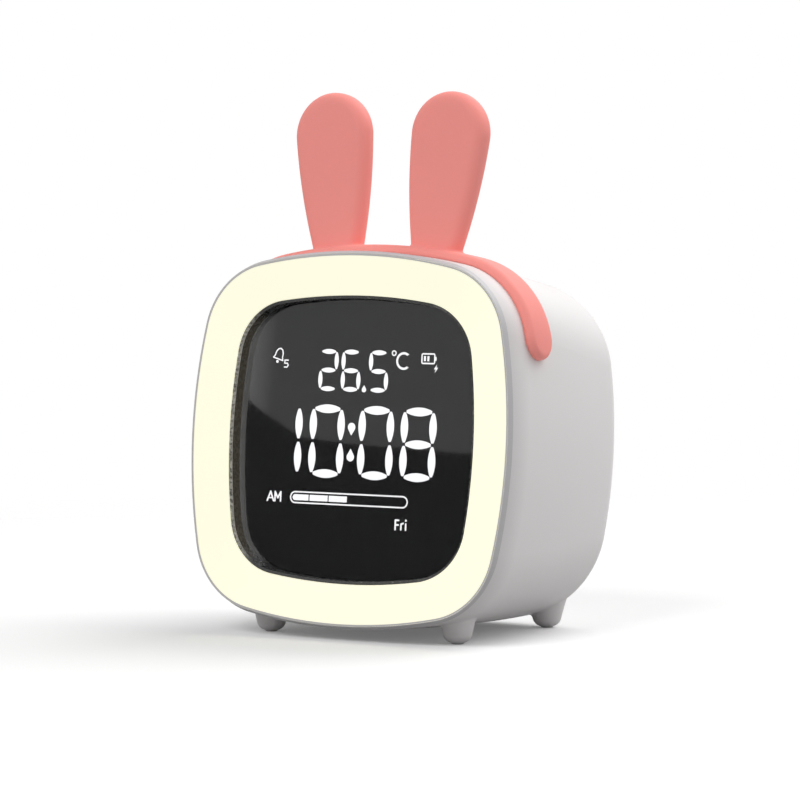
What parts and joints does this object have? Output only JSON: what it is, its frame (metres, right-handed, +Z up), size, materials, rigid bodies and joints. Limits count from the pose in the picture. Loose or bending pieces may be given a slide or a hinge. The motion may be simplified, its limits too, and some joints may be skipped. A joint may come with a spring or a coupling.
{
  "type": "kids alarm clock with night light",
  "caption": "Rounded white bedside alarm clock with a lit cream front ring, a dark recessed number display and a soft pink band with two tall ears, on stub feet.",
  "frame": {"origin": "on the table, in the middle of the footprint of the whole part", "axes": "+Z up, -Y towards the viewer of the display, +X to the display's right"},
  "size_m": [0.0904, 0.0676, 0.1298],
  "materials": {
    "case_white": "fine matte, warm grey-white",
    "ring_milky": "milky and translucent, lit from behind in warm white",
    "bezel_black": "gloss black",
    "window_smoke": "smoked, clear and glossy",
    "display_black": "matte black",
    "mark_white": "lit white",
    "tray_white": "bright white",
    "lamp_yellow": "clear resin over phosphor",
    "board_green": "solder resist",
    "screw_steel": "zinc plated",
    "ear_pink": "soft, satin",
    "pad_clear": "soft, frosted",
    "button_grey": "satin",
    "chip_black": "moulded resin",
    "socket_metal": "bright tin",
    "switch_black": "matte",
    "speaker_frame": "black, pressed",
    "cone_paper": "paper pulp",
    "magnet_steel": "bright plating",
    "lead_insulation": "soft insulation",
    "cell_wrap": "shrink wrap",
    "cradle_plastic": "matte",
    "plug_white": "matte",
    "ribbon_white": "flat film",
    "sensor_tin": "tinned can",
    "probe_bead": "dark bead"
  },
  "bodies": {
    "case": {"main_shell": "case_white", "rear_cover": "case_white", "foot_pads": "pad_clear", "light_ring": "ring_milky", "screen_bezel": "bezel_black", "screen_window": "window_smoke", "display_block": "display_black", "display_time": "mark_white", "display_temperature": "mark_white", "display_signs": "mark_white", "light_tray": "tray_white", "light_ring_lamps": "lamp_yellow", "front_board": "board_green", "front_board_screws": "screw_steel", "front_pack_screws": "screw_steel", "ear_band": "ear_pink", "rear_cover_screws": "screw_steel", "main_board": "board_green", "main_board_chips": "chip_black", "main_board_screws": "screw_steel", "button_switches": "switch_black", "usb_socket": "socket_metal", "tap_sensor": "sensor_tin", "temperature_probe": "probe_bead", "speaker_basket": "speaker_frame", "speaker_cone": "cone_paper", "speaker_magnet": "magnet_steel", "speaker_leads": "lead_insulation", "battery_cell": "cell_wrap", "battery_cradle": "cradle_plastic", "battery_cradle_screws": "screw_steel", "battery_plug": "plug_white", "battery_leads": "lead_insulation", "ribbon_sockets": "plug_white", "display_ribbon": "ribbon_white"},
    "light_key": {"light_button": "button_grey", "light_plunger": "button_grey"},
    "alarm_key": {"alarm_button": "button_grey", "alarm_plunger": "button_grey"},
    "plus_key": {"plus_button": "button_grey", "plus_plunger": "button_grey"},
    "minus_key": {"minus_button": "button_grey", "minus_plunger": "button_grey"},
    "mode_key": {"mode_button": "button_grey", "mode_plunger": "button_grey"}
  },
  "joints": [
    {"name": "light_press", "type": "slide", "parent": "case", "child": "light_key", "axis": [0, -0.9964, 0.0842], "range_m": [0, 0.0005], "stiffness_N_per_m": 3000},
    {"name": "alarm_press", "type": "slide", "parent": "case", "child": "alarm_key", "axis": [0, -0.9964, 0.0842], "range_m": [0, 0.0005], "stiffness_N_per_m": 3000},
    {"name": "plus_press", "type": "slide", "parent": "case", "child": "plus_key", "axis": [0, -0.9964, 0.0842], "range_m": [0, 0.0005], "stiffness_N_per_m": 3000},
    {"name": "minus_press", "type": "slide", "parent": "case", "child": "minus_key", "axis": [0, -0.9964, 0.0842], "range_m": [0, 0.0005], "stiffness_N_per_m": 3000},
    {"name": "mode_press", "type": "slide", "parent": "case", "child": "mode_key", "axis": [0, -0.9964, 0.0842], "range_m": [0, 0.0005], "stiffness_N_per_m": 3000}
  ]
}
